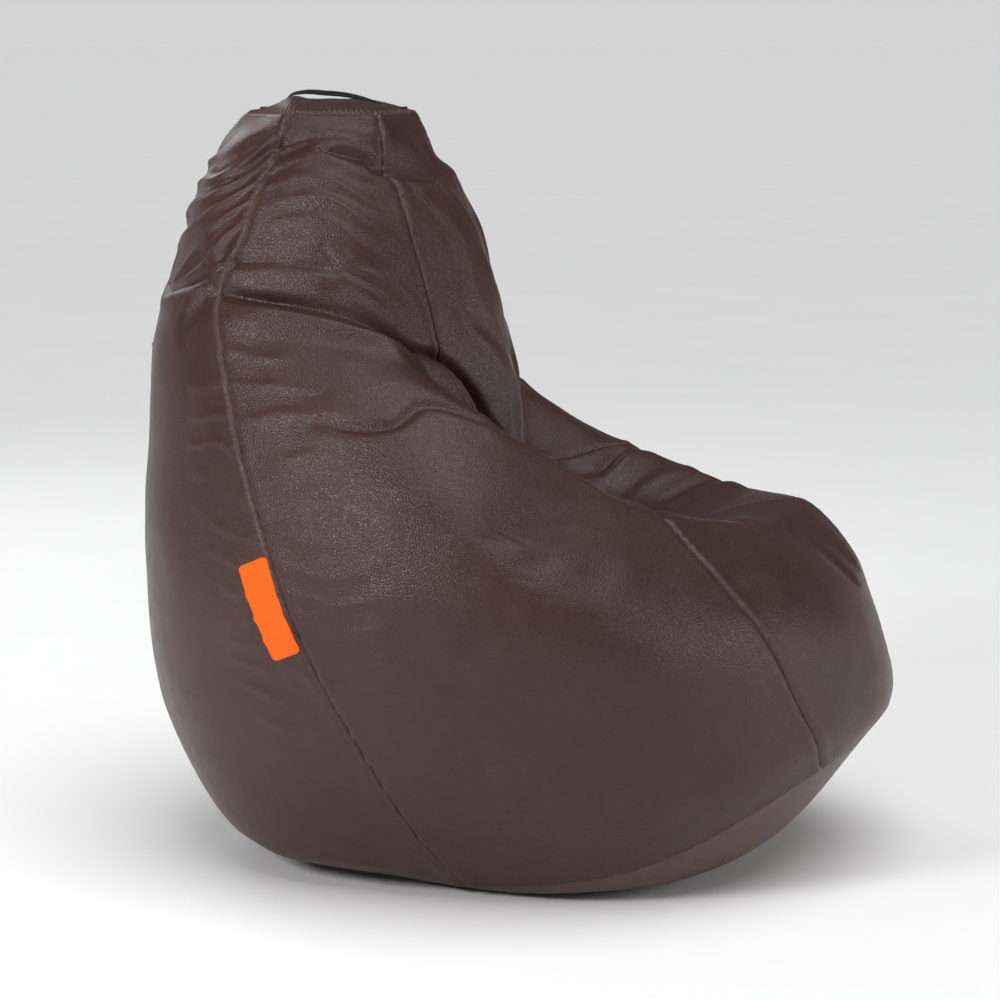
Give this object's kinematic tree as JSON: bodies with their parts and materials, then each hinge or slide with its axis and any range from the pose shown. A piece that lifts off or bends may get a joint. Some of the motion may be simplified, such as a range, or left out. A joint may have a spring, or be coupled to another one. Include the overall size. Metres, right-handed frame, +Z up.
{
  "type": "bean bag chair",
  "caption": "Teardrop bean bag chair in dark brown leatherette: sewn gores, round base, hexagonal cap with a webbing carry handle, back zip and a shaped seat hollow",
  "frame": {"origin": "middle of the patch of the base that rests on the floor", "axes": "+Z up, the seat opens towards -Y, the sitter's right is -X"},
  "size_m": [0.8596, 0.8975, 0.9028],
  "materials": {
    "leatherette": "semi-gloss dark brown leatherette with a fine pebbled grain",
    "beads": "loose expanded polystyrene beads",
    "liner_cloth": "thin white spun liner cloth",
    "webbing": "black woven polypropylene webbing",
    "thread": "dark brown polyester sewing thread",
    "zip_nylon": "dark brown nylon coil",
    "zip_tape": "dark brown woven zip tape",
    "zip_metal": "dark antique coated zinc",
    "label_orange": "orange coated patch with a stitched border"
  },
  "bodies": {
    "bag": {"base_panel": "leatherette", "bead_fill": "beads", "front_right_panel": "leatherette", "right_side_panel": "leatherette", "back_right_panel": "leatherette", "back_left_panel": "leatherette", "left_side_panel": "leatherette", "front_left_panel": "leatherette", "top_cap": "leatherette", "liner_right_half": "liner_cloth", "liner_left_half": "liner_cloth", "liner_base": "liner_cloth", "liner_top": "liner_cloth", "handle_front_end": "webbing", "handle_rear_end": "webbing", "front_bar_tacks": "thread", "rear_bar_tacks": "thread", "zip_coil_right": "zip_nylon", "zip_coil_left": "zip_nylon", "zip_tape_right": "zip_tape", "zip_tape_left": "zip_tape", "zip_top_stops": "zip_metal", "zip_bottom_stop": "zip_metal", "side_label": "label_orange"},
    "handle": {"carry_handle": "webbing"},
    "slider": {"zip_slider": "zip_metal"},
    "pull": {"zip_pull": "zip_metal"}
  },
  "joints": [
    {"name": "handle_swing", "type": "hinge", "parent": "bag", "child": "handle", "pos_m": [0, 0.206, 0.889], "axis": [0, 1, 0], "range_deg": [-25, 25]},
    {"name": "zip_slide", "type": "slide", "parent": "bag", "child": "slider", "axis": [0, 0.052, -0.9986], "range_m": [0, 0.25]},
    {"name": "pull_swing", "type": "hinge", "parent": "slider", "child": "pull", "pos_m": [0, 0.41969, 0.6046], "axis": [1, 0, 0], "range_deg": [0, 160]}
  ]
}
